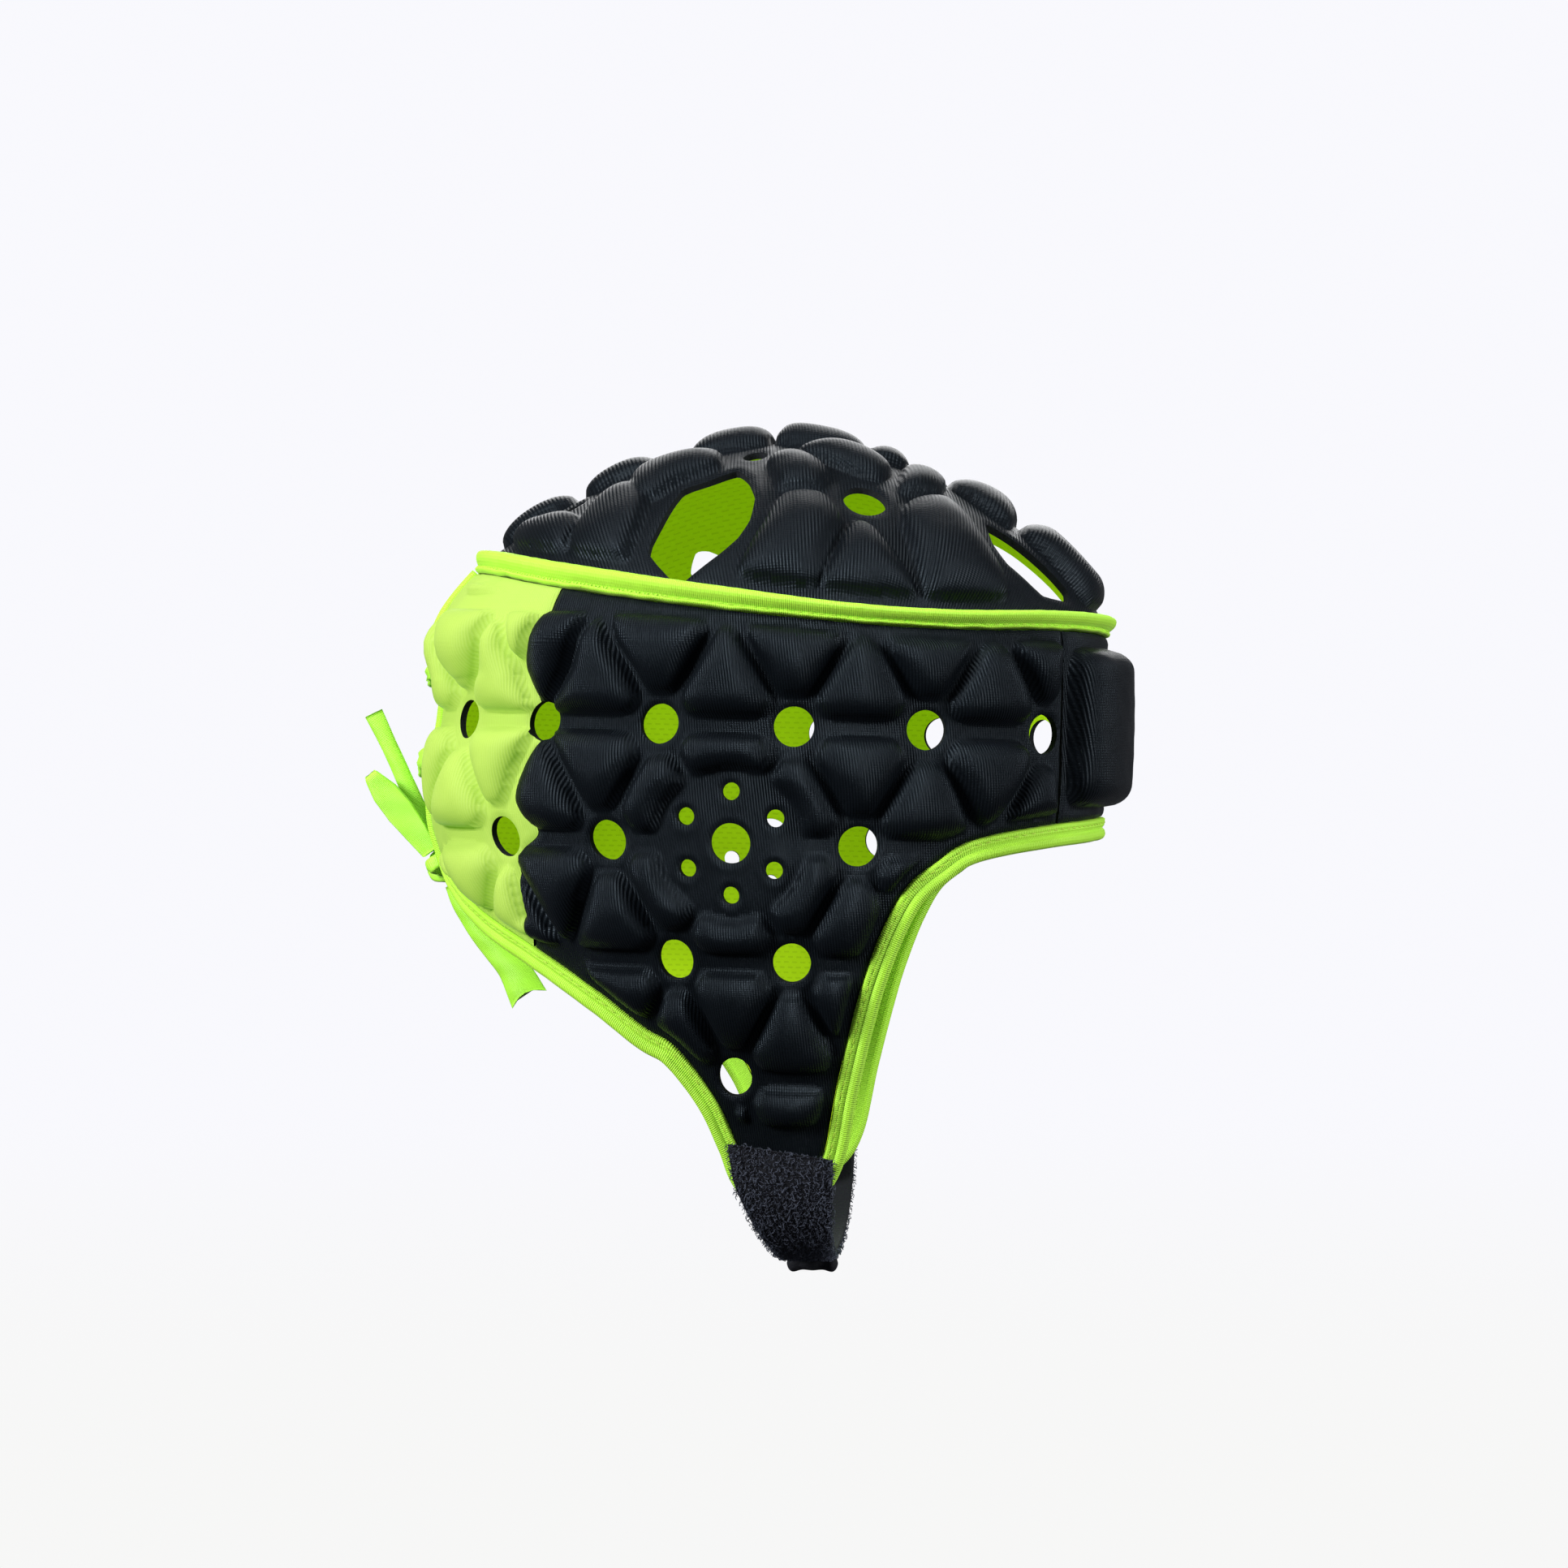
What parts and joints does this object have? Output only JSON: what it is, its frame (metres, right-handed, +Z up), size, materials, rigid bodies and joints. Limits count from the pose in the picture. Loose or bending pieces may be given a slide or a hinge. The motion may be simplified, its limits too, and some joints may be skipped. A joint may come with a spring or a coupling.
{
  "type": "rugby scrum cap",
  "caption": "Padded rugby scrum cap: foam pads under stretch knit, an open crown, ear flaps with vents, bound edges, a laced nape and a soft strap under the chin.",
  "frame": {"origin": "the inside of the crown's top, where the cap sits on the head", "axes": "+X towards the brow, +Y towards the wearer's left, +Z up"},
  "size_m": [0.2442, 0.1804, 0.2704],
  "materials": {
    "black_knit": "fine ribbed stretch knit over foam, soft sheen",
    "lime_knit": "fine stretch knit over foam, soft sheen",
    "lime_binding": "cross-ribbed elastic binding tape with stitching",
    "lime_lace": "flat woven lace tape, creased",
    "loop_pile": "matt loop pile, fuzzy"
  },
  "bodies": {
    "root": {"crown": "black_knit", "brow_pad": "black_knit", "side_panel_right": "black_knit", "side_panel_left": "black_knit", "rear_panel_right": "lime_knit", "rear_panel_left": "lime_knit", "top_binding": "lime_binding", "edge_binding": "lime_binding", "lace_crossing_upper": "lime_lace", "lace_crossing_lower": "lime_lace", "lace_knot": "lime_lace", "lace_end_upper": "lime_lace", "lace_loop": "lime_lace", "lace_end_lower": "lime_lace", "chin_strap_right": "loop_pile", "chin_strap_left": "loop_pile", "strap_seam": "loop_pile"}
  },
  "joints": []
}
